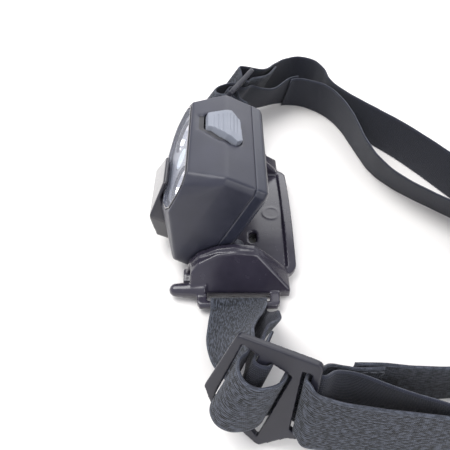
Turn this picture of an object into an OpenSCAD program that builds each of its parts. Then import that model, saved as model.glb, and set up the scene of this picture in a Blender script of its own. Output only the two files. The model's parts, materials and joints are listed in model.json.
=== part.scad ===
// Rechargeable headlamp lying on its mounting bracket, with its elastic headband laid out behind it.
// Units are millimetres. +Z is up, the wearer's left is +X, the lens faces -Y.
// The bracket rests on z = 0, and the lamp is swung open on its hinge.

/* [Lamp head] */
// Half of the head's width
half_w = 37.5; // [37:0.5:39]
// Height of the flat top above the head's own axis
top_g = 45.2; // [44:0.5:47]
// Angle that the back of the head leans from upright
lean = 26.5; // [24:0.5:28]
// Wall of the front shell and the rear cover
wall = 1.8; // [1.4:0.1:2.0]
// Depth of the rear cover's band
cover_depth = 8.1; // [7.5:0.1:8.5]

/* [Hinge] */
// Radius of the steel hinge pins
pin_r = 1.6; // [1.2:0.1:2]
// Radial running clearance in the lugs
pin_gap = 0.05; // [0.03:0.01:0.1]

/* [Bracket] */
// Height of the lowest point of the head's axis frame above the table
base_rise = 18; // [18:0.5:20]
// Radius that the forehead plate is curved to
brow_r = 200; // [180:10:240]
// Thickness of the forehead plate
plate_t = 2.6; // [2:0.2:3]

/* [Webbing] */
// Width of the elastic band
band_w = 29; // [27:0.5:30]
// Thickness of the elastic band
band_t = 1.5; // [1.2:0.1:1.6]

/* [Button] */
// Travel of the top button
button_travel = 1.2; // [0.8:0.1:1.3]

/* [Hidden] */
$fn = 48;

black = [0.17, 0.17, 0.19];
smoke = [0.25, 0.23, 0.27];
heather = [0.26, 0.28, 0.32];
key_grey = [0.55, 0.57, 0.62];

seam_d = -5.9;
rear_d = seam_d + cover_depth;
front_d = -37.5;
ridge_d = -21.5;
chest_g = -20.6;              // lowest height of the front shell below the ridge
pivot = [5.4, 2.2];           // hinge axis in the head's own frame, depth then height
lug_in = half_w - 6.5;
lug_out = half_w - 0.9;
ear_in = half_w + 1.3;
ear_out = ear_in + 3.5;

// ---- shared helpers ----

// Puts a module drawn in the head's own frame (x, depth, height) where the head lies.
module head_place() translate([0, 0, base_rise]) rotate([-lean, 0, 0]) children();

// A thin plate across the head at one depth, outlined in (x, height).
module slab(pts, d, t = 0.2) translate([0, d, 0]) rotate([90, 0, 0])
    linear_extrude(t, center = true) polygon(pts);

// The full outline from its right-hand half.
function both(half) = concat(half, [for (i = [len(half) - 1:-1:0]) [-half[i][0], half[i][1]]]);

// A side profile (depth, height) given width across the head.
module across(pts, w, x = 0) translate([x - w / 2, 0, 0]) rotate([90, 0, 90])
    linear_extrude(w) polygon(pts);

module mirrored() {
    children();
    mirror([1, 0, 0]) children();
}

// ---- ribbon sweep for the webbing ----

function unit(v) = v / norm(v);
function spline(a, b, c, d, t) = 0.5 * (2 * b + (c - a) * t + (2 * a - 5 * b + 4 * c - d) * t * t
    + (3 * b - a - 3 * c + d) * t * t * t);
function at(p, i) = p[min(max(i, 0), len(p) - 1)];
function smooth(p, n) = concat(
    [for (i = [0:len(p) - 2], k = [0:n - 1]) spline(at(p, i - 1), p[i], p[i + 1], at(p, i + 2), k / n)],
    [p[len(p) - 1]]);
function place_of(q) = [q[0], q[1], q[2]];
function cross_of(q) = [q[3], q[4], q[5]];

// Corner points of the band at sample i: width w across, thickness t through.
function corners(s, i, w, t) = let (
    run = unit(place_of(at(s, i + 1)) - place_of(at(s, i - 1))),
    side = unit(cross_of(s[i])),
    face = unit(cross(run, side)),
    c = place_of(s[i]))
    [c + side * w / 2 + face * t / 2, c - side * w / 2 + face * t / 2,
     c - side * w / 2 - face * t / 2, c + side * w / 2 - face * t / 2];

// A band along control points, each [x, y, z, and the direction of the band's width].
module ribbon(path, n = 6, w = band_w, t = band_t) {
    s = smooth(path, n);
    last = len(s) - 1;
    pts = [for (i = [0:last]) each corners(s, i, w, t)];
    sides = [for (i = [0:last - 1], k = [0:3]) let (a = 4 * i + k, b = 4 * i + (k + 1) % 4)
        each [[a, b, b + 4], [a, b + 4, a + 4]]];
    ends = [[2, 1, 0], [3, 2, 0],
            [4 * last, 4 * last + 1, 4 * last + 2], [4 * last, 4 * last + 2, 4 * last + 3]];
    polyhedron(points = pts, faces = concat(sides, ends), convexity = 10);
}

// ---- lamp head ----

front_rim = both([[20, 0.4], [30, 6.5], [36.2, 13.5], [35.6, 23], [34, 31], [30, 35.8]]);
chest = both([[34.4, chest_g], [half_w, -16.8], [half_w, 42], [35.6, top_g]]);
back_rim = both([[34.6, -21.4], [36.9, -19.4], [half_w, -14], [half_w, 42], [35.6, top_g]]);
cover_rim = both([[34.2, -19], [36.4, -17], [half_w, -12], [half_w, 42], [35.6, top_g]]);
lens_edge = both([[20, 2.6], [29.6, 8.4], [33.8, 14], [34.2, 23], [32.8, 30], [28.4, 33.8]]);
thin = 0.2;                   // thickness of the slabs that the head is hulled from

// Shrinks an outline about the head's middle so that its sides move in by inset.
module shrunk(inset) {
    k = (half_w - inset) / half_w;
    translate([0, 0, 12 * (1 - k)]) scale([k, 1, k]) children();
}

module head_outer(inset = 0, over = 0) shrunk(inset) hull() {
    slab(front_rim, front_d + inset);
    slab(chest, ridge_d);
    slab(back_rim, seam_d - thin / 2 + over);
}

button_plan = [[-17.8, -30.4], [-17.8, -19.3], [-12.1, -14.6], [4.6, -13.4], [7.1, -16.2], [3.7, -21.8],
               [-4, -27.6], [-5.8, -30.2]];
key_base = 36.4 + button_travel;   // the pressed key's underside stays just clear of the switch
module button_block(grow = 0) intersection() {
    translate([0, 0, 30]) linear_extrude(30) offset(delta = grow) polygon(button_plan);
    across([[-31, key_base - grow * 4], [-31, 40.2], [-29.6, 41.6], [-22.4, 46.9], [-20.2, 47.6],
            [-12, 47.4], [-12, key_base - grow * 4]], 60);
}

// Shallow dished area beside the button, ahead of it and on its near side.
module button_dish() difference() {
    translate([1.2, -3.4, 30]) linear_extrude(30) offset(delta = 0.8) polygon(button_plan);
    head_outer(1);
}

screw_at = [[30.4, 10.2], [29.6, 38.2]];
screw_r = 1.1;

module front_shell() color(black) head_place() {
    difference() {
        head_outer();
        head_outer(wall, 1);
        slab(both([[19, 4.2], [28.4, 9.8], [32.4, 14.8], [32.8, 23], [31.4, 29], [27.4, 32.2]]),
             front_d, 8);
        slab(lens_edge, front_d - 0.3, 1.8);
        button_block(0.4);
        button_dish();
    }
    // screw posts, each on a rib from the side wall
    for (p = screw_at) mirrored() difference() {
        union() {
            translate([p[0], seam_d, p[1]]) rotate([90, 0, 0]) cylinder(r = 2.4, h = 11);
            translate([p[0], seam_d - 11, p[1] - 0.7]) cube([half_w - 0.9 - p[0], 9, 1.4]);
        }
        translate([p[0], seam_d + 1, p[1]]) rotate([90, 0, 0]) cylinder(r = screw_r, h = 9);
    }
}

module rear_outer(inset = 0, back = rear_d) hull() {
    shrunk(inset) slab(back_rim, seam_d + thin / 2);
    shrunk(inset) slab(cover_rim, back - 2.4);
    shrunk(inset + 2.2) slab(cover_rim, back - thin / 2);
}

module rear_cover() color(black) head_place() difference() {
    union() {
        difference() {
            rear_outer();
            difference() {
                rear_outer(wall, rear_d - wall);
                for (p = screw_at) mirrored() translate([p[0], rear_d, p[1]]) rotate([90, 0, 0])
                    cylinder(r = 2.9, h = cover_depth);
            }
        }
        mirrored() {
            translate([lug_in, pivot[0], pivot[1]]) rotate([0, 90, 0])
                cylinder(r = 4.5, h = lug_out - lug_in);
            translate([lug_in, rear_d - 1, pivot[1] - 4.5]) cube([lug_out - lug_in, pivot[0] - rear_d + 1, 9]);
        }
        for (x = [-18, 0, 18]) translate([x - 0.6, rear_d - 0.6, 14]) cube([1.2, 1.2, 22]);
    }
    mirrored() translate([lug_in - 1, pivot[0], pivot[1]]) rotate([0, 90, 0])
        cylinder(r = pin_r + pin_gap, h = lug_out - lug_in + 2);
    for (p = screw_at) mirrored() translate([p[0], rear_d + 1, p[1]]) rotate([90, 0, 0]) {
        cylinder(r = screw_r + 0.1, h = 12);
        cylinder(r = 2.1, h = 3.2);
    }
}

// Bridges the joint between the shell and the cover, just inside their walls.
module cover_seal() color([0.1, 0.1, 0.1]) head_place() difference() {
    shrunk(wall + 0.2) slab(back_rim, seam_d, 1);
    shrunk(wall + 0.8) slab(back_rim, seam_d, 2);
}

module lens_frame() color(smoke) head_place() difference() {
    slab(lens_edge, front_d - 0.1, 0.9);
    slab(both([[19.5, 3.4], [29, 9.1], [33.1, 14.4], [33.5, 23], [32.1, 29.5], [27.9, 33]]), front_d, 3);
}

module lens_window() color([0.8, 0.85, 0.9, 0.4]) head_place()
    slab(both([[19.4, 3.5], [28.9, 9.2], [33, 14.5], [33.4, 23], [32, 29.4], [27.8, 32.9]]),
         front_d + 0.05, 1.1);

cup_x = 20;
cup_g = 19;
module cup(r0, r1, h) rotate([90, 0, 0]) rotate_extrude()
    polygon([for (i = [0:8]) let (u = i / 8) [r0 + (r1 - r0) * pow(u, 0.62), h * u],
             [0, h], [0, 0]]);
module reflector_tray() color([0.8, 0.8, 0.84]) head_place() difference() {
    union() {
        slab(both([[18, 5.2], [27.6, 10.8], [31.4, 15.4], [31.8, 23], [30.4, 28.2], [26.8, 31]]),
             -35, 1.4);
        for (s = [-1, 1]) translate([s * cup_x, -26.2, cup_g]) rotate([90, 0, 0])
            cylinder(r = 10.6, h = 8.6);
    }
    for (s = [-1, 1]) translate([s * cup_x, -26.1, cup_g]) cup(2.4, 9.9, 9.8);
    translate([0, -30, cup_g]) rotate([90, 0, 0]) cylinder(r = 6.4, h = 12, center = true);
}

module flood_optic() color([0.92, 0.93, 0.95]) head_place() {
    translate([0, -26.4, cup_g]) rotate([90, 0, 0]) cylinder(r1 = 4, r2 = 6.1, h = 9.3);
}

module led_board() color([0.1, 0.3, 0.2]) head_place()
    slab(both([[28.6, 6.2], [28.6, 33]]), -24.7, 1.2);

module led_emitters() color([0.95, 0.9, 0.5]) head_place() {
    for (s = [-1, 1]) translate([s * cup_x, -25.3, cup_g]) rotate([90, 0, 0]) {
        translate([-1.7, -1.7, 0]) cube([3.4, 3.4, 0.8]);
        translate([0, 0, 0.8]) cylinder(r = 1.5, h = 0.7);
    }
    translate([0, -25.3, cup_g]) rotate([90, 0, 0]) translate([-1.7, -1.7, 0]) cube([3.4, 3.4, 0.8]);
}

module heat_spreader() color([0.7, 0.7, 0.72]) head_place() {
    slab(both([[28.6, 6.2], [28.6, 32]]), -23.1, 2);
    for (i = [-2:2]) translate([i * 10 - 0.6, -22.1, 12]) cube([1.2, 3.4, 16]);
}

cell_r = 10.6;
cell_at = [-12.4, -6.2];
cell_len = 68.4;
cap_len = 0.8;
module battery_cell() color([0.2, 0.4, 0.7]) head_place()
    translate([-(cell_len + cap_len) / 2, cell_at[0], cell_at[1]]) rotate([0, 90, 0]) {
        cylinder(r = cell_r, h = cell_len);
        translate([0, 0, cell_len]) cylinder(r = 4, h = cap_len);
    }

module battery_cradle() color([0.3, 0.3, 0.3]) head_place() difference() {
    for (x = [-26, 22]) translate([x, -20.5, -17.4]) cube([4, 14, 8]);
    translate([-40, cell_at[0], cell_at[1]]) rotate([0, 90, 0]) cylinder(r = cell_r + 0.1, h = 80);
}

module control_board() color([0.1, 0.3, 0.2]) head_place() translate([-26, -19.4, 32.6])
    cube([52, 15, 1.2]);

module tact_switch() color([0.3, 0.3, 0.3]) head_place() translate([-6, -16.4, 33.8]) {
    translate([-3, -3, 0]) cube([6, 6, 1.6]);
    translate([0, 0, 1.6]) cylinder(r = 1.6, h = 0.7);
}

module cover_screws() color([0.6, 0.6, 0.62]) head_place() for (p = screw_at) mirrored()
    translate([p[0], rear_d - 2.2, p[1]]) rotate([90, 0, 0]) {
        cylinder(r = screw_r, h = 12);
        translate([0, 0, -1.6]) difference() {
            cylinder(r = 2, h = 1.6);
            translate([0, 0, -0.1]) cylinder(r = 0.9, h = 1, $fn = 6);
        }
    }

chin_side = [[-38.5, 9], [-40, 9], [-40.7, 8.2], [-40.7, -9.8], [-39.8, -12], [-31.6, -23], [-23, -23],
             [ridge_d - thin / 2, chest_g], [front_d - thin / 2, 0.4], [-38.5, 0.4]];
contact_at = [-27.3, -23];
contact_r = 3.6;
module chin_block() color(smoke) head_place() difference() {
    intersection() {
        across(chin_side, 60);
        slab([[-10.8, 9], [-19.6, -10.5], [-18.4, -28], [18.4, -28], [19.6, -10.5], [10.8, 9]], -30, 40);
    }
    translate([0, contact_at[0], contact_at[1] - 1]) cylinder(r = contact_r + 0.1, h = 3.1);
}

module charge_contact() color([0.75, 0.7, 0.5]) head_place()
    translate([0, contact_at[0], contact_at[1]]) cylinder(r = contact_r, h = 2);

module top_button() color(key_grey) head_place() difference() {
    button_block();
    // grip ridges across the key
    for (i = [0:6]) translate([-7, -28 + 2 * i, 47.6 - max(0, (-21.4 + 28 - 2 * i) * 0.72)])
        rotate([0, 90, 0]) cylinder(r = 0.4, h = 15, center = true, $fn = 16);
}

// ---- bracket ----

pad_t = 4.2;
pad_half = 37;
// the two ends of the curved pad touch the table
plate_top = brow_r - sqrt(pow(brow_r - plate_t - pad_t, 2) - pow(pad_half, 2));
pin_y = pivot[0] * cos(lean) + pivot[1] * sin(lean);
pin_z = base_rise - pivot[0] * sin(lean) + pivot[1] * cos(lean);
slot_y0 = -9.4;
slot_y1 = 23.4;
bar_x = 61.4;                 // middle of the end bar that the band wraps
bar_z = 4.5;
bar_r = 2.1;
tab_at = [52.2, -25.8, 5];     // middle of the thumb tab's round tip
tab_r = 3.5;
tab_root_r = 4.9;

// Part of the curved shell whose outer face has radius r and its top at height top.
module brow_shell(top, t, r = brow_r) translate([0, -60, top - r]) rotate([-90, 0, 0]) difference() {
    cylinder(r = r, h = 140, $fn = 180);
    translate([0, 0, -1]) cylinder(r = r - t, h = 142, $fn = 180);
}

// Outline of the forehead plate, open towards -Y under the lamp.
module plate_plan() difference() {
    union() {
        hull() for (s = [-1, 1]) {
            translate([s * 36, 31.4]) circle(r = 7.4);
            translate([s * 40, 6]) square(6, center = true);
        }
        for (s = [-1, 1]) translate([s * 42.4 - 4.2, -22.5]) square([8.4, 32]);
    }
    translate([-ear_in, -40]) square([2 * ear_in, 44]);
    for (s = [-1, 1]) hull() for (k = [-2, 2]) translate([s * 18.4 + k, 15.6]) circle(r = 2);
}

ear_side = [[-22, 2.4], [-19, 14], [-14, 20.5], [-4, 25.6], [5, 27], [15, 25.6], [20, 21.5],
            [33, 8.5], [33, 2.4]];

module mount_bracket() color(smoke) difference() {
    union() {
        intersection() {
            brow_shell(plate_top, plate_t);
            linear_extrude(40) plate_plan();
        }
        // raised border along the top edge of the plate
        intersection() {
            brow_shell(plate_top + 1.3, plate_t + 1);
            linear_extrude(40) difference() {
                plate_plan();
                translate([-50, -30]) square([100, 63.6]);
            }
        }
        // ring boss on the plate
        translate([0, 27, plate_top - 1.5]) difference() {
            cylinder(r = 5, h = 1.75);
            translate([0, 0, -1]) cylinder(r = 4.2, h = 4);
        }
        mirrored() {
            across(ear_side, ear_out - ear_in, (ear_in + ear_out) / 2);
            // apron from the ear down to the strap slot
            intersection() {
                across([[-18, 1], [-18, 15], [-13.6, 20], [-4, 24.4], [6, 25.4], [16.6, 24.4], [34, 7.4],
                        [34, 1]], 13, 48.4);
                translate([0, -30, 0]) rotate([-90, 0, 0]) linear_extrude(70)
                    polygon([[ear_out - 0.5, -1.2], [ear_out - 0.5, -27], [43.6, -26.4], [54.4, -6.4],
                             [54.4, -2], [50, -1.2]]);
            }
            // frame round the slot
            translate([0, 0, bar_z - bar_r]) linear_extrude(2 * bar_r) difference() {
                translate([50, -14.4]) square([9.8, 42.8]);
                translate([54.4, slot_y0]) square([10, slot_y1 - slot_y0]);
            }
            for (y = [-14.4, slot_y1]) translate([56, y, bar_z - bar_r]) cube([bar_x - 56, 5, 2 * bar_r]);
            translate([bar_x, -13.4, bar_z]) rotate([-90, 0, 0]) cylinder(r = bar_r, h = 40.8);
            // tapering thumb tab at the lower corner
            translate(tab_at) sphere(r = tab_r);
            translate(tab_at) rotate([-90, 0, 0]) cylinder(r1 = tab_r, r2 = tab_root_r, h = slot_y0 - 0.6 - tab_at[1]);
        }
    }
    mirrored() {
        translate([ear_in - 5, pin_y, pin_z]) rotate([0, 90, 0]) cylinder(r = pin_r, h = 9.3);
        translate([bar_x - 5.6, slot_y0, -5]) cube([3.9 - 0.3, slot_y1 - slot_y0, 30]);
    }
}

module forehead_pad() color([0.12, 0.12, 0.13]) intersection() {
    brow_shell(plate_top - plate_t, pad_t, brow_r - plate_t);
    linear_extrude(40) difference() {
        hull() for (s = [-1, 1]) {
            translate([s * (pad_half - 6), 29.4]) circle(r = 6);
            translate([s * (pad_half - 3), 9]) square(5, center = true);
        }
        for (s = [-1, 1]) hull() for (k = [-2, 2]) translate([s * 18.4 + k, 15.6]) circle(r = 2.6);
    }
}

module hinge_pins() color([0.75, 0.75, 0.78]) mirrored()
    translate([lug_in + 0.6, pin_y, pin_z]) rotate([0, 90, 0]) cylinder(r = pin_r, h = 11.2);

module hinge_washers() color([0.85, 0.85, 0.8]) mirrored() translate([lug_out + 0.2, pin_y, pin_z])
    rotate([0, 90, 0]) difference() {
        cylinder(r = 4, h = ear_in - lug_out - 0.2);
        translate([0, 0, -1]) cylinder(r = pin_r, h = 5);
    }

// ---- headband hardware ----

slider_t = 3.2;
slider_yaw = 23;              // turn of the near slider's run from +Y towards +X
slider_tip = 20;              // lean of the near slider from upright
near_at = [129.4, 14.1, 0.85];
far_at = [-103.9, -12.7, 1.1];
far_yaw = 63;
far_tip = 32;

// Slider outline in its own plane, from its lowest tip: the band's run along x, its width along y.
// Its three slots fan out, and the first bar is nearest the lamp.
module slider_plan() difference() {
    offset(r = 2.4) offset(r = -2.4)
        polygon([[-17.3, 52.6], [-27.4, 20.9], [-23.4, 13], [0, 0], [10.4, 10.3], [18.2, 13.8], [17, 52.3]]);
    polygon([[-14.6, 48.8], [-22.6, 16], [-13.8, 12.6], [-7.4, 46.2]]);
    polygon([[-3, 45.2], [-9.4, 11.4], [-1.2, 4.6], [6.6, 42.6]]);
    polygon([[10.1, 46.6], [11, 15.4], [14.6, 15.2], [13.9, 46.8]]);
}

module slider_body() rotate([90, 0, 90]) linear_extrude(slider_t, center = true) slider_plan();

module near_slider() color(smoke) translate(near_at) rotate([0, 0, -slider_yaw])
    rotate([0, -slider_tip, 0]) slider_body();

module far_slider() color(smoke) translate(far_at) rotate([0, 0, far_yaw])
    rotate([0, far_tip, 0]) slider_body();

// ---- headband paths, each point [x, y, z, direction of the band's width] ----

function turn_z(v, a) = [v[0] * cos(a) - v[1] * sin(a), v[0] * sin(a) + v[1] * cos(a), v[2]];
function turn_y(v, a) = [v[0] * cos(a) + v[2] * sin(a), v[1], v[2] * cos(a) - v[0] * sin(a)];
function near_dir(n, u, w) = turn_z(turn_y([n, u, w], -slider_tip), -slider_yaw);
function far_dir(n, u, w) = turn_z(turn_y([-n, u, w], far_tip), far_yaw);
// Beside a slider: u along its run, n out of its outer face, w across, slant of the width.
mid_w = 30;
slot_slant = 11;
function near_pt(u, n, w = mid_w, slant = slot_slant) =
    concat(near_at + near_dir(n, u, w), near_dir(0, sin(slant), cos(slant)));
function far_pt(u, n, w = mid_w, slant = slot_slant) =
    concat(far_at + far_dir(n, u, w), far_dir(0, sin(slant), cos(slant)));
// Round the bracket's end bar: angle from straight up, s is the side of the bracket.
bar_mid = [7, bar_z];
wrap_r = bar_r + 1.05;
function bar_pt(s, a, tilt = 0) = [s * (bar_x - wrap_r * sin(a)), bar_mid[0], bar_mid[1] + wrap_r * cos(a),
    0, cos(tilt), sin(tilt)];
// Standing on its edge on the table.
stand_z = band_w / 2 + 0.4;
function up_pt(x, y, lean_x = 0, lean_y = 0) = [x, y, stand_z, lean_x, lean_y, 1];

module near_adjuster_band() color(heather) ribbon([
    near_pt(-9.6, -15, 33), near_pt(-9.5, -10, 31.6), near_pt(-8.7, -6), near_pt(-6, -3.4), near_pt(-4.7, 0),
    near_pt(-5.5, 2.5), near_pt(-8.2, 3.3), near_pt(-10.9, 2.5), near_pt(-11.7, 0), near_pt(-11.7, -5),
    near_pt(-11.8, -10, 31.6), near_pt(-12.2, -18, 33.4, 12), [91, 16.6, 21.5, -0.18, 0.52, 0.84],
    [82, 15.6, 16.2, -0.1, 0.64, 0.77], [72, 11.4, 8, 0, 0.91, 0.4], [66.2, 8, 3.6, 0, 0.995, 0.1],
    bar_pt(1, 180), bar_pt(1, 135), bar_pt(1, 90), bar_pt(1, 45), bar_pt(1, 0),
    [65.8, 6.8, 8.8, 0, 0.98, 0.2], [75, 5.2, 13.8, -0.02, 0.94, 0.36], [86, 3.2, 19, -0.1, 0.82, 0.56],
    [97, 3.4, 24.4, -0.2, 0.62, 0.76], near_pt(-15.5, -8, 31, 13), near_pt(-15.5, -3, 31, 13),
    near_pt(-15.7, 0, 31, 13.5), near_pt(-17.2, 2.8, 30.8, 15), near_pt(-17.8, 5, 29.6, 16.5),
    near_pt(-16.4, 7.8, 27.6, 17), near_pt(-12.5, 9.8, 25.6, 17), near_pt(-7.3, 9.6, 25, 16),
    near_pt(-2.8, 7.6, 26, 14.5), near_pt(0.4, 5, 27.2, 13), near_pt(1.8, 2.2, 28, 11.5),
    near_pt(1.7, -0.8, 28.2), near_pt(4, -3.9, 28.6, 9), near_pt(9, -5.4, 29, 5), near_pt(14, -6.8, 28, 2),
    [114.2, 40.5, 20.4, -0.24, 0.1, 0.97], [111.2, 48, 16.6, -0.1, 0.02, 1], up_pt(109.8, 56),
    up_pt(109.5, 66)], 3);

module far_adjuster_band() color(heather) ribbon([
    far_pt(-9.6, -13, 32), far_pt(-9.5, -9.6, 31), far_pt(-8.7, -6), far_pt(-6, -3.4), far_pt(-4.7, 0),
    far_pt(-5.5, 2.5), far_pt(-8.2, 3.3), far_pt(-10.9, 2.5), far_pt(-11.7, 0), far_pt(-11.7, -5),
    far_pt(-11.9, -9, 30.6, 12), [-77.5, 8.6, 14.6, 0.08, 0.76, 0.64], [-71.4, 9.8, 8.6, 0.03, 0.9, 0.4],
    [-66.2, 8, 3.6, 0, 0.995, 0.1], bar_pt(-1, 180), bar_pt(-1, 135), bar_pt(-1, 90), bar_pt(-1, 45),
    bar_pt(-1, 0), [-65.8, 6.8, 8.8, 0, 0.98, 0.2], [-72.5, 4.6, 14.8, 0.03, 0.86, 0.5],
    far_pt(-15.5, -8, 30.5, 13), far_pt(-15.5, -3, 31, 13), far_pt(-15.7, 0, 31, 13.5),
    far_pt(-17.2, 2.8, 30, 15), far_pt(-17.8, 5, 28.4, 16.5), far_pt(-16.4, 7.8, 25.8, 17),
    far_pt(-12.5, 9.8, 23.8, 17), far_pt(-7.3, 9.6, 23.4, 16), far_pt(-2.8, 7.6, 24.6, 14.5),
    far_pt(0.4, 5, 26.6, 13), far_pt(1.8, 2.2, 28, 11.5), far_pt(1.7, -0.8, 28.2), far_pt(4, -3.9, 28.6, 9),
    far_pt(9, -5.4, 28.6, 4), far_pt(15, -6.5, 27.4, 1), [-113, 20, 17.4, 0.34, 0.5, 0.8],
    [-119, 29.5, 14, 0.4, 0.42, 0.82], [-124.8, 38.6, 14.3, 0.36, 0.3, 0.88],
    [-128.4, 46, 14.8, 0.3, 0.18, 0.93], [-129, 53, 15.1, 0.27, 0.08, 0.95]], 3);

module outer_headband() color(heather) ribbon([
    up_pt(131.9, 107, -0.08), up_pt(130, 99, -0.06), up_pt(125.2, 88), up_pt(119.6, 72),
    [116.2, 60, 15.6, -0.1, 0, 1], [115.8, 51, 18, -0.2, 0.03, 0.98], [118.6, 43, 22.4, -0.28, 0.08, 0.96],
    near_pt(18.6, -3.5, mid_w, -1.5), near_pt(14.4, -3.2, mid_w, -1.5), near_pt(12.7, -2, mid_w, -1.5),
    near_pt(12.4, 0, mid_w, -1.5), near_pt(12.7, 2, mid_w, -1.5), near_pt(14.4, 3.3, 29.6, -1.5),
    near_pt(17.6, 4.1, 27.4, -1), [130.6, 38.5, 22.8, -0.3, 0.08, 0.95], [130.2, 47, 18.4, -0.27, 0.03, 0.96],
    [130.4, 60, 15.4, -0.24, 0, 1], [133, 86, 15, -0.2, 0, 1], up_pt(134.2, 100, -0.1), up_pt(132.8, 118),
    up_pt(124.5, 142), up_pt(108, 162), up_pt(82, 175), up_pt(48, 176), up_pt(12, 164), up_pt(-24, 143.5),
    up_pt(-62, 119.3), up_pt(-92, 94.6), up_pt(-108, 82.6), up_pt(-121, 76.5), up_pt(-135, 74.5),
    up_pt(-148, 69), up_pt(-154, 58), [-149, 45, 17, 0.12, 0.12, 1], [-136, 31, 22, 0.3, 0.35, 0.88],
    [-121.5, 20.5, 27, 0.3, 0.5, 0.8], far_pt(19, 7.5, 31, -1), far_pt(15.2, 5.2, 30.6, -1.5),
    far_pt(12.7, 2, mid_w, -1.5), far_pt(12.4, 0, mid_w, -1.5), far_pt(12.7, -2, mid_w, -1.5),
    far_pt(14.4, -3.2, mid_w, -1.5), far_pt(18.6, -3.6, mid_w, -1), [-119.3, 23, 24, 0.3, 0.5, 0.8],
    [-134.9, 32.8, 21, 0.3, 0.35, 0.88]], 4);

module inner_headband() color(heather) ribbon([
    up_pt(107.6, 54), up_pt(107.7, 64), up_pt(109, 78), up_pt(109.4, 96), up_pt(106, 116),
    up_pt(95, 136), up_pt(74, 150), up_pt(46, 154, 0.05, -0.2), [20, 147.5, 13.8, 0.26, -0.36, 0.9],
    [1.5, 134, 13.3, 0.36, -0.4, 0.86], [-18, 112.5, 13.3, 0.35, -0.38, 0.86], [-35, 99.5, 13.6, 0.25, -0.32, 0.9],
    [-52.5, 92.5, 14.5, 0.1, -0.25, 1], up_pt(-77, 88, 0.05, -0.14), up_pt(-100, 82, 0.05, -0.14),
    [-115, 73.5, 14.8, 0.14, -0.1, 0.98], [-124, 61.5, 14.7, 0.25, -0.05, 0.96],
    [-126.9, 51.5, 14.5, 0.28, 0.12, 0.93], [-126.2, 46.5, 14.3, 0.3, 0.17, 0.93]], 4);

// Moves a sub-part so that the origin is the middle of the whole footprint.
footprint_mid = [-8.979, 68.42];
module in_frame() translate([-footprint_mid[0], -footprint_mid[1], 0]) children();

in_frame() front_shell();
in_frame() rear_cover();
in_frame() cover_seal();
in_frame() lens_window();
in_frame() lens_frame();
in_frame() reflector_tray();
in_frame() flood_optic();
in_frame() led_board();
in_frame() led_emitters();
in_frame() heat_spreader();
in_frame() battery_cell();
in_frame() battery_cradle();
in_frame() control_board();
in_frame() tact_switch();
in_frame() cover_screws();
in_frame() chin_block();
in_frame() charge_contact();
in_frame() top_button();
in_frame() mount_bracket();
in_frame() forehead_pad();
in_frame() hinge_pins();
in_frame() hinge_washers();
in_frame() near_slider();
in_frame() far_slider();
in_frame() near_adjuster_band();
in_frame() far_adjuster_band();
in_frame() outer_headband();
in_frame() inner_headband();
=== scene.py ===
"""Looks for a headlamp that lies open on its mounting bracket, with its headband laid out behind it."""
import json
import math

import bmesh
import bpy
from mathutils import Matrix, Vector


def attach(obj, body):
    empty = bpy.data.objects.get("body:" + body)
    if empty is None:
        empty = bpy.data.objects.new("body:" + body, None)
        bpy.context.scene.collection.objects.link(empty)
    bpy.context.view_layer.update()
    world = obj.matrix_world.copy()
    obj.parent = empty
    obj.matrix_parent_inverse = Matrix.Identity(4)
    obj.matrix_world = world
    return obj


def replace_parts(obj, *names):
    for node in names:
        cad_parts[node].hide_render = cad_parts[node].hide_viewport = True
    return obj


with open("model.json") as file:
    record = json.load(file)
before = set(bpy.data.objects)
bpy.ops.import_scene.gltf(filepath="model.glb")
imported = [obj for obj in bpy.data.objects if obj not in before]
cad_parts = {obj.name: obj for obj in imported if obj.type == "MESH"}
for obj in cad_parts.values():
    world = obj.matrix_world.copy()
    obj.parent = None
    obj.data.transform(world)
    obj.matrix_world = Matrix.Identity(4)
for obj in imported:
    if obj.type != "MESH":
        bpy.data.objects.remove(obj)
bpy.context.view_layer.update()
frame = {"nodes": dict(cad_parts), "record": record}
MM = 0.001

JOINTS = {j["name"]: j for j in frame["record"]["behaviour"]["joints"]}
HEADBAND, LAMP, BUTTON = "headband", "lamp", "button"


# ---- the head's own frame: x across, d back from the lens, g up ----

UP_G = -Vector(JOINTS["button_press"]["axis"]).normalized()
BACK_D = UP_G.cross(Vector((1, 0, 0)))
PIVOT_D, PIVOT_G = 5.4 * MM, 2.2 * MM   # where the hinge is in that frame
HEAD_ORIGIN = Vector(JOINTS["lamp_tilt"]["pos_m"]) - BACK_D * PIVOT_D - UP_G * PIVOT_G
HEAD = Matrix.Translation(HEAD_ORIGIN) @ Matrix((
    (1, BACK_D.x, UP_G.x, 0), (0, BACK_D.y, UP_G.y, 0), (0, BACK_D.z, UP_G.z, 0), (0, 0, 0, 1)))
TO_HEAD = HEAD.inverted()
MID = Vector((HEAD_ORIGIN.x, HEAD_ORIGIN.y, 0))   # below the head's origin: the band routes' zero


def in_head(point):
    """A point of the scene, in the head's frame and in mm."""
    return TO_HEAD @ point / MM


# ---- materials ----

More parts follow.
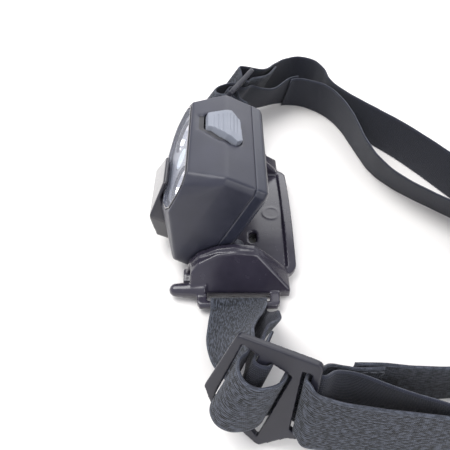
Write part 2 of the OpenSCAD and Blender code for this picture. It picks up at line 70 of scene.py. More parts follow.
class Look:
    """A Principled material and short ways to add nodes to it."""

    def __init__(self, name, colour, rough, **sockets):
        self.mat = bpy.data.materials.new(name)
        self.mat.use_nodes = True
        self.tree = self.mat.node_tree
        self.shader = self.tree.nodes["Principled BSDF"]
        self.shader.inputs["Base Color"].default_value = (*colour, 1)
        self.shader.inputs["Roughness"].default_value = rough
        for key, value in sockets.items():
            self.shader.inputs[key.replace("_", " ")].default_value = value
        self.coords = self.tree.nodes.new("ShaderNodeTexCoord").outputs["Object"]

    def node(self, kind, **inputs):
        made = self.tree.nodes.new(kind)
        for key, value in inputs.items():
            self.put(made.inputs[key.replace("_", " ")], value)
        return made

    def put(self, socket, value):
        if isinstance(value, bpy.types.NodeSocket):
            self.tree.links.new(value, socket)
        else:
            socket.default_value = value

    def noise(self, size, detail=3.0, at=None, stretch=None):
        """Noise whose lumps are about size metres, drawn out along an axis where stretch is below 1."""
        place = at or self.coords
        if stretch:
            place = self.node("ShaderNodeMapping", Vector=place, Scale=stretch).outputs["Vector"]
        return self.node("ShaderNodeTexNoise", Vector=place, Scale=1 / size, Detail=detail).outputs["Fac"]

    def remap(self, value, low, high, to_low=0.0, to_high=1.0):
        made = self.node("ShaderNodeMapRange")
        for i, v in enumerate((value, low, high, to_low, to_high)):
            self.put(made.inputs[i], v)
        return made.outputs[0]

    def math(self, kind, a, b=0.0):
        made = self.tree.nodes.new("ShaderNodeMath")
        made.operation = kind
        self.put(made.inputs[0], a)
        self.put(made.inputs[1], b)
        return made.outputs[0]

    def mix(self, fac, a, b, blend="MIX"):
        """Mixes two colours, each a node's output or a plain RGB tuple."""
        made = self.tree.nodes.new("ShaderNodeMix")
        made.data_type, made.blend_type = "RGBA", blend
        self.put(made.inputs[0], fac)
        for i, colour in ((6, a), (7, b)):   # the sockets that a colour Mix node uses
            self.put(made.inputs[i], (*colour, 1) if isinstance(colour, tuple) else colour)
        return made.outputs[2]

    def base(self, colour):
        self.put(self.shader.inputs["Base Color"], colour)

    def rough(self, fac, low, high):
        self.put(self.shader.inputs["Roughness"], self.remap(fac, 0.0, 1.0, low, high))

    def bump(self, height, depth):
        """A bump depth metres high; a second call stacks on the first."""
        old = self.shader.inputs["Normal"].links
        made = self.node("ShaderNodeBump", Height=height, Distance=depth, Strength=1.0)
        if old:
            self.put(made.inputs["Normal"], old[0].from_socket)
        self.put(self.shader.inputs["Normal"], made.outputs["Normal"])
        return self


WORN_FROM, WORN_FULL = 0.525, 0.60   # pointiness where an edge starts to show wear, and is fully worn
WEAR_PATCH, CLOUD, POLISH = 0.0054, 0.012, 0.006   # sizes of wear patches, cloudiness and shiny patches
CLOUD_FROM, CLOUD_TO = 0.3, 0.7
RUB_GAIN, RUB_LIFT = 2.1, 0.05                     # how much paler a worn edge is
SMOOTHER, ROUGHER = 0.07, 0.09                     # how far roughness goes to either side of rough
COAT_ROUGH = 0.18


def edge_wear(look):
    """0 on flats, up to 1 in patches along outer edges, from the surface's own shape."""
    point = look.node("ShaderNodeNewGeometry").outputs["Pointiness"]
    return look.math("MULTIPLY", look.remap(point, WORN_FROM, WORN_FULL), look.noise(WEAR_PATCH, 4))


def moulded(name, dark, light, rough, grain=0.00045, depth=0.00002, coat=0.0, wear=0.55):
    """Moulded plastic: fine spark texture, faint cloudiness, paler along rubbed edges."""
    look = Look(name, dark, rough, Coat_Weight=coat, Coat_Roughness=COAT_ROUGH)
    cloudy = look.mix(look.remap(look.noise(CLOUD, 4), CLOUD_FROM, CLOUD_TO), dark, light)
    rubbed = tuple(min(1, c * RUB_GAIN + RUB_LIFT) for c in light)
    look.base(look.mix(look.math("MULTIPLY", edge_wear(look), wear), cloudy, rubbed))
    look.rough(look.noise(POLISH, 5), rough - SMOOTHER, rough + ROUGHER)
    return look.bump(look.noise(grain, 2), depth)


SCRATCH, SCRATCH_DEPTH = 0.0004, 0.000006
BRIGHTER, DULLER = 0.06, 0.12   # how far a metal's roughness goes to either side of rough


def metal(name, base, rough, brushed=(1, 1, 1)):
    """Bare metal, its fine scratches drawn out along the axes with the smaller numbers in brushed."""
    look = Look(name, base, rough, Metallic=1.0)
    look.rough(look.noise(SCRATCH * 1.5, 4, stretch=brushed), rough - BRIGHTER, rough + DULLER)
    return look.bump(look.noise(SCRATCH, 3, stretch=brushed), SCRATCH_DEPTH)


BAND_W, BAND_T = 29 * MM, 1.5 * MM
WALE, COURSE = 0.00095, 0.0007   # width of one rib of the weave, and length of one knot along it
STREAK, STREAK_STRETCH = 0.0011, (0.42, 1.5, 1)
FLECK_FROM, FLECK_SHARE = 0.45, 0.4
STREAK_FROM, STREAK_FULL = 0.485, 0.56
# the weave's height where the painted shade between ribs ends, and that shade's tone and share
WEAVE_FULL, GROOVE_SHADE_TONE, GROOVE_SHADE_SHARE = 1.6, 0.45, 0.4
SELVEDGE_FROM, SELVEDGE_TO = BAND_W / 2 - 0.0016, BAND_W / 2 - 0.0011
SELVEDGE_GAIN, SELVEDGE_LIFT, SELVEDGE_SHARE = 1.2, 0.012, 0.3
WEAVE_HEIGHT, FUZZ, FUZZ_HEIGHT = 0.00010, 0.0014, 0.00005


def webbing(name, dark, pale, flecks):
    """Woven elastic. The UV map runs in metres: x along the band, y across it."""
    look = Look(name, dark, 0.82, Sheen_Weight=0.1, Sheen_Roughness=0.5)
    uv = look.node("ShaderNodeUVMap")
    uv.uv_map = "band"
    split = look.node("ShaderNodeSeparateXYZ", Vector=uv.outputs["UV"])
    along, across = split.outputs["X"], split.outputs["Y"]

    # ribs along the band, with knots in steps from one rib to the next
    rib = look.math("FLOOR", look.math("DIVIDE", across, WALE))
    waves = look.math("SINE", look.math("MULTIPLY", across, math.tau / WALE))
    stepped = look.math("ADD", along, look.math("MULTIPLY", rib, COURSE / 2))
    knots = look.math("SINE", look.math("MULTIPLY", stepped, math.tau / COURSE))
    weave = look.math("MULTIPLY", look.math("ADD", waves, 1.0),
                      look.math("ADD", look.math("MULTIPLY", knots, 0.5), 1.0))

    # pale flecks knot by knot, and longer pale streaks
    knot = look.math("FLOOR", look.math("DIVIDE", along, COURSE * 2))
    cell = look.node("ShaderNodeCombineXYZ", X=knot, Y=rib)
    fleck = look.node("ShaderNodeTexWhiteNoise", Vector=cell.outputs["Vector"]).outputs["Value"]
    streak = look.noise(STREAK, 3, at=uv.outputs["UV"], stretch=STREAK_STRETCH)
    flecked = look.math("MULTIPLY", look.remap(fleck, FLECK_FROM, 1.0), flecks * FLECK_SHARE)
    tone = look.mix(flecked, dark, pale)
    tone = look.mix(look.remap(streak, STREAK_FROM, STREAK_FULL, 0.0, flecks), tone, pale)

    # painted shade between the ribs, a little paler along the woven edges
    groove_shade = tuple(c * GROOVE_SHADE_TONE for c in dark)
    shade = look.mix(look.remap(weave, 0.0, WEAVE_FULL), groove_shade, (1.0, 1.0, 1.0))
    tone = look.mix(GROOVE_SHADE_SHARE, tone, shade, blend="MULTIPLY")
    edge = look.remap(look.math("ABSOLUTE", across), SELVEDGE_FROM, SELVEDGE_TO)
    selvedge = tuple(c * SELVEDGE_GAIN + SELVEDGE_LIFT for c in pale)
    look.base(look.mix(look.math("MULTIPLY", edge, SELVEDGE_SHARE), tone, selvedge))
    look.bump(weave, WEAVE_HEIGHT)
    return look.bump(look.noise(FUZZ, 3), FUZZ_HEIGHT)


SHELL = moulded("shell_plastic", (0.022, 0.023, 0.036), (0.031, 0.032, 0.048), rough=0.38)
COVER = moulded("cover_plastic", (0.019, 0.021, 0.034), (0.026, 0.028, 0.044), rough=0.30)
# painted shade: the darker look for the recessed dish round the button
DISH_SHADE = moulded("dish_painted_shade", (0.007, 0.007, 0.010), (0.012, 0.011, 0.015), rough=0.40)
SMOKE = moulded("bracket_plastic", (0.021, 0.018, 0.030), (0.030, 0.026, 0.041), rough=0.24, grain=0.0012,
                depth=0.000008, coat=0.5, wear=0.12)
GLOSS = moulded("chin_plastic", (0.020, 0.019, 0.024), (0.030, 0.028, 0.036), rough=0.22, grain=0.0012,
                depth=0.000006, coat=0.7)
SLIDER = moulded("slider_plastic", (0.011, 0.011, 0.018), (0.018, 0.018, 0.027), rough=0.34)
KEY = moulded("key_rubber", (0.20, 0.215, 0.25), (0.245, 0.26, 0.30), rough=0.5, grain=0.0003, depth=0.000012)
SEAL = moulded("seal_rubber", (0.012, 0.012, 0.012), (0.02, 0.02, 0.02), rough=0.7)
NYLON = moulded("washer_nylon", (0.62, 0.61, 0.57), (0.7, 0.69, 0.65), rough=0.5)
STEEL = metal("pin_steel", (0.56, 0.56, 0.58), rough=0.3, brushed=(0.2, 3, 3))
ALLOY = metal("spreader_alloy", (0.70, 0.70, 0.72), rough=0.38)
GOLD = metal("contact_gold", (0.83, 0.66, 0.32), rough=0.25)
CHROME = metal("reflector_chrome", (0.80, 0.80, 0.84), rough=0.1)
CELL = moulded("cell_wrap", (0.05, 0.16, 0.38), (0.06, 0.19, 0.43), rough=0.35)
BOARD = moulded("board_mask", (0.01, 0.06, 0.035), (0.015, 0.08, 0.045), rough=0.35)
OUTER_WEB = webbing("band_face", (0.003, 0.005, 0.009), (0.078, 0.088, 0.116), flecks=0.95)
INNER_WEB = webbing("band_back", (0.008, 0.010, 0.020), (0.019, 0.023, 0.044), flecks=0.35)

THREAD = Look("stitch_thread", (0.08, 0.085, 0.1), rough=0.7, Sheen_Weight=0.3)
THREAD.bump(THREAD.noise(0.0003, 2, stretch=(1, 1, 4)), depth=0.00004)

# a faint blue-grey veil of base colour on the clear lens: a painted reflection
LENS = Look("lens_clear_painted_reflection", (0.50, 0.54, 0.66), rough=0.04, IOR=1.49, Alpha=0.13, Coat_Weight=0.3,
            Coat_Roughness=0.03)
LENS.rough(LENS.noise(0.004, 3), 0.02, 0.07)
TRAY = moulded("tray_grey", (0.16, 0.165, 0.19), (0.21, 0.215, 0.245), rough=0.32)
OPTIC = Look("diffuser_white", (0.82, 0.83, 0.86), rough=0.3, Subsurface_Weight=0.2)
OPTIC.bump(OPTIC.noise(0.0009, 2), depth=0.00006)
LED = Look("led_phosphor", (0.85, 0.74, 0.22), rough=0.35)
LED.base(LED.mix(LED.noise(0.001, 2), (0.85, 0.70, 0.18), (0.90, 0.82, 0.35)))

FOAM = Look("pad_foam", (0.022, 0.022, 0.026), rough=0.9, Sheen_Weight=0.2)
FOAM.base(FOAM.mix(FOAM.noise(0.003, 4), (0.018, 0.018, 0.022), (0.035, 0.035, 0.04)))
FOAM.bump(FOAM.noise(0.0006, 3), depth=0.00012)


# ---- mesh helpers ----

def new_piece(name, verts, faces, looks):
    """A new object in the scene, with one material slot for each look."""
    mesh = bpy.data.meshes.new(name)
    mesh.from_pydata(verts, [], faces)
    for look in looks:
        mesh.materials.append(look.mat)
    obj = bpy.data.objects.new(name, mesh)
    bpy.context.scene.collection.objects.link(obj)
    return obj


def shade_smooth(mesh):
    for poly in mesh.polygons:
        poly.use_smooth = True


def face_outwards(mesh, weld=0.0):
    """Turns every face outwards, after welding points closer together than weld."""
    bm = bmesh.new()
    bm.from_mesh(mesh)
    if weld:
        bmesh.ops.remove_doubles(bm, verts=bm.verts, dist=weld)
    bmesh.ops.recalc_face_normals(bm, faces=bm.faces)
    bm.to_mesh(mesh)
    bm.free()


def apply_modifiers(obj):
    """The object with its modifiers made part of its mesh."""
    shown = obj.evaluated_get(bpy.context.evaluated_depsgraph_get())
    mesh = bpy.data.meshes.new_from_object(shown)
    obj.modifiers.clear()
    obj.data = mesh
    return obj


WELD, FLAT_ANGLE = 1e-6, math.radians(0.6)   # CAD points this close are one, faces this flat are one


def node_mesh(node):
    """A welded copy of a CAD node's mesh, as a new object."""
    mesh = frame["nodes"][node].data.copy()
    obj = bpy.data.objects.new(node + "_look", mesh)
    bpy.context.scene.collection.objects.link(obj)
    bm = bmesh.new()
    bm.from_mesh(mesh)
    bmesh.ops.remove_doubles(bm, verts=bm.verts, dist=WELD)
    bmesh.ops.dissolve_limit(bm, angle_limit=FLAT_ANGLE, verts=bm.verts, edges=bm.edges)
    bm.to_mesh(mesh)
    bm.free()
    return obj


def paint(obj, *looks):
    """Gives an object these looks, the first one all over."""
    obj.data.materials.clear()
    for look in looks:
        obj.data.materials.append(look.mat)
    for poly in obj.data.polygons:
        poly.material_index = 0


def stands_for(obj, node, body, look):
    """Gives a finished piece its look and lets it stand for the CAD node."""
    paint(obj, look)
    shade_smooth(obj.data)
    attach(obj, body)
    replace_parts(obj, node)
    return obj


def softened(node, body, look, width):
    """The CAD node with its edges bevelled."""
    obj = node_mesh(node)
    bevel = obj.modifiers.new("edges", "BEVEL")
    bevel.width, bevel.segments = width, 2
    bevel.limit_method, bevel.angle_limit = "ANGLE", math.radians(24)
    shade_smooth(obj.data)
    obj.modifiers.new("normals", "WEIGHTED_NORMAL").keep_sharp = True
    stands_for(apply_modifiers(obj), node, body, look)


def rounded(node, body, look, cell, passes, hold=None):
    """The CAD node as one smooth moulding: finely remeshed, its edges worn round by smoothing passes.

    hold maps a vertex, in the head's frame in mm, to how much of the smoothing it takes.
    """
    obj = node_mesh(node)
    remesh = obj.modifiers.new("skin", "REMESH")
    remesh.mode, remesh.voxel_size = "VOXEL", cell
    apply_modifiers(obj)
    smooth = obj.modifiers.new("round", "SMOOTH")
    smooth.factor, smooth.iterations = 0.5, passes
    if hold:
        group = obj.vertex_groups.new(name="hold")
        for vert in obj.data.vertices:
            group.add([vert.index], hold(in_head(vert.co)), "REPLACE")
        smooth.vertex_group = group.name
    return stands_for(apply_modifiers(obj), node, body, look)


# ---- webbing: the same routes as in the CAD, in millimetres from the head's middle ----

# A route point is the middle of the webbing, and then the direction of its width.
# A slider is its place, its turns about z and about its own y in degrees, and its side.
NEAR = ((129.4, 14.1, 0.85), -23, -20, 1)
FAR = ((-103.9, -12.7, 1.1), 63, 32, -1)
MID_W, SLANT = 30, 11   # height of the webbing's middle on a slider, and its slant there in degrees
BAR_X, BAR_Y, BAR_Z, WRAP_R = 61.4, 7, 4.5, 3.15   # the bracket's end bar, and the strap's middle round it
STAND_Z = 14.9   # height of the middle of a band that stands on its edge


def slider_dir(slider, n, u, w):
    """A direction from the slider's own axes: n through its face, u from bar to bar, w up."""
    _, yaw, tip, side = slider
    turn = Matrix.Rotation(math.radians(yaw), 3, "Z") @ Matrix.Rotation(math.radians(tip), 3, "Y")
    return turn @ Vector((n * side, u, w))


def slider_pt(slider, u, n, w=MID_W, slant=SLANT):
    """On a slider, the width of the webbing slanted by slant degrees."""
    place = Vector(slider[0]) + slider_dir(slider, n, u, w)
    a = math.radians(slant)
    return (*place, *slider_dir(slider, 0, math.sin(a), math.cos(a)))


def near(*args):
    return slider_pt(NEAR, *args)


def far(*args):
    return slider_pt(FAR, *args)


def bar(s, deg):
    """On the turn round the end bar on side s, deg degrees from its top."""
    a = math.radians(deg)
    return (s * (BAR_X - WRAP_R * math.sin(a)), BAR_Y, BAR_Z + WRAP_R * math.cos(a), 0, 1, 0)


def up(x, y, lean_x=0.0, lean_y=0.0):
    """Standing on its edge, with a lean."""
    return (x, y, STAND_Z, lean_x, lean_y, 1)


NEAR_ADJUSTER = [
    near(-9.6, -15, 33), near(-9.5, -10, 31.6), near(-8.7, -6), near(-6, -3.4), near(-4.7, 0),
    near(-5.5, 2.5), near(-8.2, 3.3), near(-10.9, 2.5), near(-11.7, 0), near(-11.7, -5),
    near(-11.8, -10, 31.6), near(-12.2, -18, 33.4, 12), (91, 16.6, 21.5, -0.18, 0.52, 0.84),
    (82, 15.6, 16.2, -0.1, 0.64, 0.77), (72, 11.4, 8, 0, 0.91, 0.4), (66.2, 8, 3.6, 0, 0.995, 0.1),
    bar(1, 180), bar(1, 135), bar(1, 90), bar(1, 45), bar(1, 0), (65.8, 6.8, 8.8, 0, 0.98, 0.2),
    (75, 5.2, 13.8, -0.02, 0.94, 0.36), (86, 3.2, 19, -0.1, 0.82, 0.56), (97, 3.4, 24.4, -0.2, 0.62, 0.76),
    near(-15.5, -8, 31, 13), near(-15.5, -3, 31, 13), near(-15.7, 0, 31, 13.5), near(-17.2, 2.8, 30.8, 15),
    near(-17.8, 5, 29.6, 16.5), near(-16.4, 7.8, 27.6, 17), near(-12.5, 9.8, 25.6, 17),
    near(-7.3, 9.6, 25, 16), near(-2.8, 7.6, 26, 14.5), near(0.4, 5, 27.2, 13), near(1.8, 2.2, 28, 11.5),
    near(1.7, -0.8, 28.2), near(4, -3.9, 28.6, 9), near(9, -5.4, 29, 5), near(14, -6.8, 28, 2),
    (114.2, 40.5, 20.4, -0.24, 0.1, 0.97), (111.2, 48, 16.6, -0.1, 0.02, 1), up(109.8, 56), up(109.5, 66)]

FAR_ADJUSTER = [
    far(-9.6, -13, 32), far(-9.5, -9.6, 31), far(-8.7, -6), far(-6, -3.4), far(-4.7, 0), far(-5.5, 2.5),
    far(-8.2, 3.3), far(-10.9, 2.5), far(-11.7, 0), far(-11.7, -5), far(-11.9, -9, 30.6, 12),
    (-77.5, 8.6, 14.6, 0.08, 0.76, 0.64), (-71.4, 9.8, 8.6, 0.03, 0.9, 0.4), (-66.2, 8, 3.6, 0, 0.995, 0.1),
    bar(-1, 180), bar(-1, 135), bar(-1, 90), bar(-1, 45), bar(-1, 0), (-65.8, 6.8, 8.8, 0, 0.98, 0.2),
    (-72.5, 4.6, 14.8, 0.03, 0.86, 0.5), far(-15.5, -8, 30.5, 13), far(-15.5, -3, 31, 13),
    far(-15.7, 0, 31, 13.5), far(-17.2, 2.8, 30, 15), far(-17.8, 5, 28.4, 16.5), far(-16.4, 7.8, 25.8, 17),
    far(-12.5, 9.8, 23.8, 17), far(-7.3, 9.6, 23.4, 16), far(-2.8, 7.6, 24.6, 14.5), far(0.4, 5, 26.6, 13),
    far(1.8, 2.2, 28, 11.5), far(1.7, -0.8, 28.2), far(4, -3.9, 28.6, 9), far(9, -5.4, 28.6, 4),
    far(15, -6.5, 27.4, 1), (-113, 20, 17.4, 0.34, 0.5, 0.8), (-119, 29.5, 14, 0.4, 0.42, 0.82),
    (-124.8, 38.6, 14.3, 0.36, 0.3, 0.88), (-128.4, 46, 14.8, 0.3, 0.18, 0.93),
    (-129, 53, 15.1, 0.27, 0.08, 0.95)]

OUTER_RING = [
    up(131.9, 107, -0.08), up(130, 99, -0.06), up(125.2, 88), up(119.6, 72), (116.2, 60, 15.6, -0.1, 0, 1),
    (115.8, 51, 18, -0.2, 0.03, 0.98), (118.6, 43, 22.4, -0.28, 0.08, 0.96), near(18.6, -3.5, MID_W, -1.5),
    near(14.4, -3.2, MID_W, -1.5), near(12.7, -2, MID_W, -1.5), near(12.4, 0, MID_W, -1.5),
    near(12.7, 2, MID_W, -1.5), near(14.4, 3.3, 29.6, -1.5), near(17.6, 4.1, 27.4, -1),
    (130.6, 38.5, 22.8, -0.3, 0.08, 0.95), (130.2, 47, 18.4, -0.27, 0.03, 0.96),
    (130.4, 60, 15.4, -0.24, 0, 1), (133, 86, 15, -0.2, 0, 1), up(134.2, 100, -0.1), up(132.8, 118),
    up(124.5, 142), up(108, 162), up(82, 175), up(48, 176), up(12, 164), up(-24, 143.5), up(-62, 119.3),
    up(-92, 94.6), up(-108, 82.6), up(-121, 76.5), up(-135, 74.5), up(-148, 69), up(-154, 58),
    (-149, 45, 17, 0.12, 0.12, 1), (-136, 31, 22, 0.3, 0.35, 0.88), (-121.5, 20.5, 27, 0.3, 0.5, 0.8),
    far(19, 7.5, 31, -1), far(15.2, 5.2, 30.6, -1.5), far(12.7, 2, MID_W, -1.5), far(12.4, 0, MID_W, -1.5),
    far(12.7, -2, MID_W, -1.5), far(14.4, -3.2, MID_W, -1.5), far(18.6, -3.6, MID_W, -1),
    (-119.3, 23, 24, 0.3, 0.5, 0.8), (-134.9, 32.8, 21, 0.3, 0.35, 0.88)]

INNER_RING = [
    up(107.6, 54), up(107.7, 64), up(109, 78), up(109.4, 96), up(106, 116), up(95, 136), up(74, 150),
    up(46, 154, 0.05, -0.2), (20, 147.5, 13.8, 0.26, -0.36, 0.9), (1.5, 134, 13.3, 0.36, -0.4, 0.86),
    (-18, 112.5, 13.3, 0.35, -0.38, 0.86), (-35, 99.5, 13.6, 0.25, -0.32, 0.9),
    (-52.5, 92.5, 14.5, 0.1, -0.25, 1), up(-77, 88, 0.05, -0.14), up(-100, 82, 0.05, -0.14),
    (-115, 73.5, 14.8, 0.14, -0.1, 0.98), (-124, 61.5, 14.7, 0.25, -0.05, 0.96),
    (-126.9, 51.5, 14.5, 0.28, 0.12, 0.93), (-126.2, 46.5, 14.3, 0.3, 0.17, 0.93)]


ROUTE_STEPS = 8   # stations from one route point to the next


def spline(a, b, c, d, t):
    """Catmull-Rom between b and c."""
    return tuple(0.5 * (2 * q + (r - p) * t + (2 * p - 5 * q + 4 * r - s) * t * t
                        + (3 * q - p - 3 * r + s) * t ** 3) for p, q, r, s in zip(a, b, c, d))


def stations(route):
    """Centre, run, width direction and face normal along a route, in metres."""
    last = len(route) - 1
    raw = [spline(route[max(i - 1, 0)], route[i], route[i + 1], route[min(i + 2, last)], k / ROUTE_STEPS)
           for i in range(last) for k in range(ROUTE_STEPS)] + [route[last]]
    centres = [MID + Vector(p[:3]) * MM for p in raw]
    out = []
    for i, p in enumerate(raw):
        run = (centres[min(i + 1, len(raw) - 1)] - centres[max(i - 1, 0)]).normalized()
        side = Vector(p[3:]).normalized()
        out.append((centres[i], run, side, run.cross(side).normalized()))
    return out


COLUMNS = 16   # faces across each side of a band
RIPPLE, RIPPLE_LEN, RIPPLE_DRIFT = 0.00012, 0.0031, 0.0113   # how far the edges waver, and over what lengths
WIDEN = 4   # how much wider a band gets, as a share, for each metre of ripple
FACE_REACH, EDGE_REACH = 0.88, 0.02   # squares of the share of BAND_T that the face and the edge have


def band(name, route, face_out):
    """A woven band along a route, its face on the side that face_out (1 or -1) gives."""
    path = stations(route)
    half, thick = BAND_W / 2, BAND_T / 2
    section = [half * math.cos(math.pi * k / COLUMNS) for k in range(COLUMNS + 1)]
    outline = [(x, 1) for x in section] + [(x, -1) for x in reversed(section)]
    verts, coords, run_len = [], [], 0.0
    for i, (c, run, side, face) in enumerate(path):
        if i:
            run_len += (c - path[i - 1][0]).length
        wave = RIPPLE * math.sin(run_len / RIPPLE_LEN) * math.sin(run_len / RIPPLE_DRIFT)
        for x, s in outline:
            edge = max(0.0, (abs(x) - half + thick) / thick)
            full = max(0.0, 1 - edge * edge)
            lift = thick * s * math.sqrt(full * (FACE_REACH - EDGE_REACH) + EDGE_REACH)
            verts.append(c + side * (x * (1 + wave * WIDEN)) + face * (lift + wave * (x / half) ** 2))
            coords.append((run_len, x))
    n = len(outline)
    last = (len(path) - 1) * n
    faces, kinds = [], []
    for row in range(0, last, n):
        for k in range(n):
            a, b = row + k, row + (k + 1) % n
            faces.append((a, b, b + n, a + n))
            kinds.append(0 if (k < COLUMNS) == (face_out > 0) else 1)
    faces += [tuple(reversed(range(n))), tuple(range(last, last + n))]
    kinds += [0, 0]
    obj = new_piece(name, verts, faces, [OUTER_WEB, INNER_WEB])
    layer = obj.data.uv_layers.new(name="band")
    for poly, kind in zip(obj.data.polygons, kinds):
        poly.material_index = kind
        for loop in poly.loop_indices:
            layer.data[loop].uv = coords[obj.data.loops[loop].vertex_index]
    shade_smooth(obj.data)
    face_outwards(obj.data)
    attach(obj, HEADBAND)
    return obj


STITCH, STITCH_FILL = 0.0026, 0.76          # from one stitch to the next, and the share that thread covers
STITCH_INSET = 0.0025                       # from the band's edges to the rows that run along them
THREAD_R, THREAD_SIDES = 0.00026, 6
THREAD_RINGS = ((0.0, 0.3), (0.12, 0.85), (0.5, 1.0), (0.88, 0.85), (1.0, 0.3))   # place along, width
THREAD_SEAT = BAND_T / 2 * 0.93 + 0.00006   # how far the ends of a stitch lie from the band's middle


def stitched(name, route, first, last):
    """A box of stitches with a cross in it on a band, from point first to point last of its route."""
    path = stations(route)
    a, b = int(first * ROUTE_STEPS), int(last * ROUTE_STEPS)
    verts, faces = [], []

    def on_band(along, x):
        pos = a + (b - a) * along
        i = min(int(pos), len(path) - 2)
        centre = path[i][0].lerp(path[i + 1][0], pos - i)
        side, face = path[i][2], path[i][3]
        return centre + side * x + face * THREAD_SEAT, face

    def thread(p, q, normal):
        across = (q - p).normalized().cross(normal).normalized()
        base, n = len(verts), THREAD_SIDES
        for t, size in THREAD_RINGS:
            mid = p.lerp(q, t) + normal * (THREAD_R * 0.5 * math.sin(math.pi * t))
            for k in range(n):
                turn = math.tau * k / n
                verts.append(mid + (across * math.cos(turn) + normal * math.sin(turn)) * (THREAD_R * size))
        tip = base + n * (len(THREAD_RINGS) - 1)
        for row in range(base, tip, n):
            for k in range(n):
                m = (k + 1) % n
                faces.append((row + k, row + m, row + n + m, row + n + k))
        faces.append(tuple(reversed(range(base, base + n))))
        faces.append(tuple(range(tip, tip + n)))

    half = BAND_W / 2 - STITCH_INSET
    start, end = ((0, -half), (0, half)), ((1, -half), (1, half))
    lines = [start, end, (start[0], end[0]), (start[1], end[1]), (start[0], end[1]), (start[1], end[0])]
    length = sum((path[i + 1][0] - path[i][0]).length for i in range(a, b))
    gap = (1 - STITCH_FILL) / 2
    for (s0, x0), (s1, x1) in lines:
        count = max(2, int(math.hypot((s1 - s0) * length, x1 - x0) / STITCH))
        for k in range(count):
            t0, t1 = (k + gap) / count, (k + 1 - gap) / count
            p, normal = on_band(s0 + (s1 - s0) * t0, x0 + (x1 - x0) * t0)
            q, _ = on_band(s0 + (s1 - s0) * t1, x0 + (x1 - x0) * t1)
            thread(p, q, normal)
    obj = new_piece(name, verts, faces, [THREAD])
    shade_smooth(obj.data)
    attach(obj, HEADBAND)


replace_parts(band("near_adjuster_look", NEAR_ADJUSTER, 1), "near_adjuster_band")
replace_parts(band("far_adjuster_look", FAR_ADJUSTER, -1), "far_adjuster_band")
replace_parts(band("outer_headband_look", OUTER_RING, 1), "outer_headband")
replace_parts(band("inner_headband_look", INNER_RING, 1), "inner_headband")
stitched("near_lap_stitches", NEAR_ADJUSTER, 42, 43)
stitched("outer_seam_stitches", OUTER_RING, 17.5, 18.25)


# ---- rigid parts ----

# In the head's frame, in mm: the seam between shell and cover, the shell's front, and how near them
# the smoothing fades to the share that the rims still take.
SEAM_D, FRONT_D = -5.9, -37.5
RIM_FLAT, SHELL_FADE, COVER_FADE, FRONT_FADE = 0.4, 2.4, 1.8, 2.5
SEAM_SHARE, FRONT_SHARE = 0.06, 0.3


def hold_rims(p):
    """Keeps the shell's two rims crisp: where it meets the cover, and round the lens."""
    return min(1.0, max(SEAM_SHARE, (SEAM_D - RIM_FLAT - p.y) / SHELL_FADE),
               max(FRONT_SHARE, (p.y - FRONT_D) / FRONT_FADE))


def hold_cover_rim(p):
    """Keeps the cover's rim crisp where it meets the shell."""
    return min(1.0, max(SEAM_SHARE, (p.y - SEAM_D - RIM_FLAT) / COVER_FADE))


# The button's outline in the head's frame, and how far its dished surround is shifted from it, in mm.
BUTTON_PLAN = ((-17.8, -30.4), (-17.8, -19.3), (-12.1, -14.6), (4.6, -13.4), (7.1, -16.2), (3.7, -21.8),
               (-4, -27.6), (-5.8, -30.2))
DISH_X, DISH_D, DISH_LOWEST_G = 1.2, -3.4, 35.5


def inside(plan, x, y):
    """Whether a point lies inside a closed outline."""
    hit = False
    for (x0, y0), (x1, y1) in zip(plan, plan[1:] + plan[:1]):
        if (y0 > y) != (y1 > y) and x < x0 + (y - y0) * (x1 - x0) / (y1 - y0):
            hit = not hit
    return hit


def darken_dish(shell):
    """Paints shade into the button's dished surround: its faces there take the darker look."""
    shell.data.materials.append(DISH_SHADE.mat)
    for poly in shell.data.polygons:
        p = in_head(poly.center)
        if p.z > DISH_LOWEST_G and inside(BUTTON_PLAN, p.x - DISH_X, p.y - DISH_D):
            poly.material_index = 1


darken_dish(rounded("front_shell", LAMP, SHELL, cell=0.55 * MM, passes=22, hold=hold_rims))
rounded("rear_cover", LAMP, COVER, cell=0.55 * MM, passes=9, hold=hold_cover_rim)
rounded("chin_block", LAMP, GLOSS, cell=0.5 * MM, passes=14)
rounded("top_button", BUTTON, KEY, cell=0.28 * MM, passes=4)
rounded("mount_bracket", HEADBAND, SMOKE, cell=0.5 * MM, passes=12)
rounded("near_slider", HEADBAND, SLIDER, cell=0.45 * MM, passes=9)
rounded("far_slider", HEADBAND, SLIDER, cell=0.45 * MM, passes=9)
softened("lens_frame", LAMP, GLOSS, width=0.25 * MM)
for node, look in (("cover_seal", SEAL), ("lens_window", LENS), ("led_board", BOARD), ("led_emitters", LED),
                   ("heat_spreader", ALLOY), ("battery_cell", CELL), ("battery_cradle", SLIDER),
                   ("control_board", BOARD), ("tact_switch", SLIDER), ("cover_screws", STEEL),
                   ("charge_contact", GOLD), ("hinge_pins", STEEL), ("hinge_washers", NYLON)):
    paint(frame["nodes"][node], look)


# ---- light units behind the lens ----

# In the head's frame, in mm.
LIGHT_X, LIGHT_G = 20, 19                      # the cups' middles, at both sides; the diffuser's is at x 0
CUP_R, CUP_BRIGHT_R, CUP_FLOOR_R = 10.3, 8.9, 3.6
OPTIC_BACK_D, OPTIC_FRONT_D, OPTIC_BACK_R, OPTIC_R = -26.4, -35.9, 4.0, 6.1
OPTIC_RIBS, OPTIC_RINGS = 20, 7
RIB_HEIGHT, RIB_FROM, RIB_TO = 0.28, 0.18 * OPTIC_R, 0.9 * OPTIC_R
FACE_STEP, FACE_DOME = 0.3, 0.15               # the face's rim behind the front, and its rise to the middle


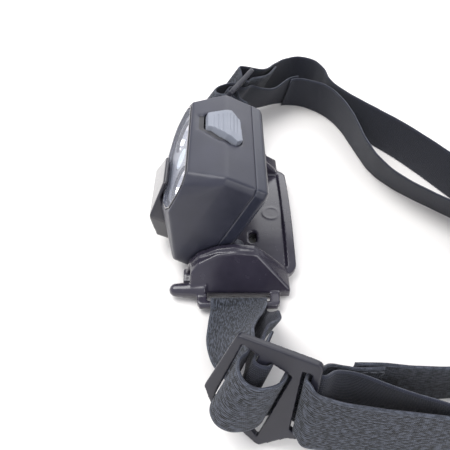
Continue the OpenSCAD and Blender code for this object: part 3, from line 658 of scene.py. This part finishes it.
def reflectors():
    """The CAD's tray: bright inside its cups, dark round their rims and floors, grey plastic in front."""
    tray = frame["nodes"]["reflector_tray"]
    paint(tray, TRAY, CHROME, SLIDER)
    grey, bright, dark = range(3)
    for poly in tray.data.polygons:
        p = in_head(poly.center)
        reach = min(math.hypot(p.x - s * LIGHT_X, p.z - LIGHT_G) for s in (-1, 1))
        if CUP_FLOOR_R < reach < CUP_BRIGHT_R:
            poly.material_index = bright
        else:
            poly.material_index = dark if reach < CUP_R else grey


def ribbed_optic():
    """The middle light's diffuser: a tapered plug whose domed face has radial ribs."""
    steps = OPTIC_RIBS * 4
    deep, wide = OPTIC_FRONT_D - OPTIC_BACK_D, OPTIC_R - OPTIC_BACK_R
    plug = [(OPTIC_BACK_D, 0.0), (OPTIC_BACK_D, OPTIC_BACK_R)]
    plug += [(OPTIC_BACK_D + deep * t, OPTIC_BACK_R + wide * t) for t in (0.5, 0.96)]
    face = [(OPTIC_FRONT_D + FACE_STEP, OPTIC_R * (1 - 0.98 * k / OPTIC_RINGS)) for k in range(OPTIC_RINGS)]
    verts, faces = [], []
    for row, (d, r) in enumerate(plug + face):
        if row >= len(plug):
            d -= FACE_DOME * (1 - (r / OPTIC_R) ** 2)
        ribbed = row >= len(plug) and RIB_FROM < r < RIB_TO
        for k in range(steps):
            a = math.tau * k / steps
            rib = RIB_HEIGHT * math.cos(a * OPTIC_RIBS) if ribbed else 0
            verts.append(HEAD @ (Vector((r * math.cos(a), d + rib, LIGHT_G + r * math.sin(a))) * MM))
    last = len(verts) - steps
    for row in range(0, last, steps):
        for k in range(steps):
            a, b = row + k, row + (k + 1) % steps
            faces.append((a, b, b + steps, a + steps))
    faces.append(tuple(range(last, last + steps)))
    obj = new_piece("flood_optic_look", verts, faces, [OPTIC])
    face_outwards(obj.data, weld=1e-7)
    stands_for(obj, "flood_optic", LAMP, OPTIC)


reflectors()
ribbed_optic()

pad = rounded("forehead_pad", HEADBAND, FOAM, cell=0.7 * MM, passes=14)


# ---- floor, light and camera ----

def floor():
    half = 3.0
    corners = [(-half, -half, 0), (half, -half, 0), (half, half, 0), (-half, half, 0)]
    obj = new_piece("floor", corners, [(0, 1, 2, 3)], [Look("floor_white", (0.90, 0.875, 0.84), 0.6)])


AIM = MID + Vector((0, 0.02, 0.03))


def area_light(name, offset, size, power):
    """A round soft light at an offset from the point that it aims at."""
    data = bpy.data.lights.new(name, "AREA")
    data.shape, data.size, data.energy = "DISK", size, power
    obj = bpy.data.objects.new(name, data)
    obj.location = AIM + Vector(offset)
    obj.rotation_euler = (-Vector(offset)).to_track_quat("-Z", "Y").to_euler()
    bpy.context.scene.collection.objects.link(obj)


floor()
area_light("key", (-0.1, -0.5, 1.0), size=0.9, power=11)
area_light("fill", (0.9, 0.5, 0.7), size=0.8, power=5)
area_light("rim", (-0.9, 0.22, 0.6), size=1.0, power=4)

world = bpy.data.worlds.new("studio")
bpy.context.scene.world = world
world.use_nodes = True
background = world.node_tree.nodes["Background"]
background.inputs["Color"].default_value = (0.93, 0.95, 1.04, 1)
background.inputs["Strength"].default_value = 0.78

EYE = MID + Vector((0.2103, 0, 0.218))   # the camera looks along -X from the wearer's left, tilted down
PITCH = 46
camera = bpy.data.objects.new("camera", bpy.data.cameras.new("camera"))
camera.data.lens, camera.data.sensor_width = 40, 36
camera.data.clip_start = 0.01
camera.location = EYE
camera.rotation_euler = (math.radians(90 - PITCH), 0, math.radians(90))
bpy.context.scene.collection.objects.link(camera)
bpy.context.scene.camera = camera
bpy.context.scene.view_settings.view_transform = "Standard"
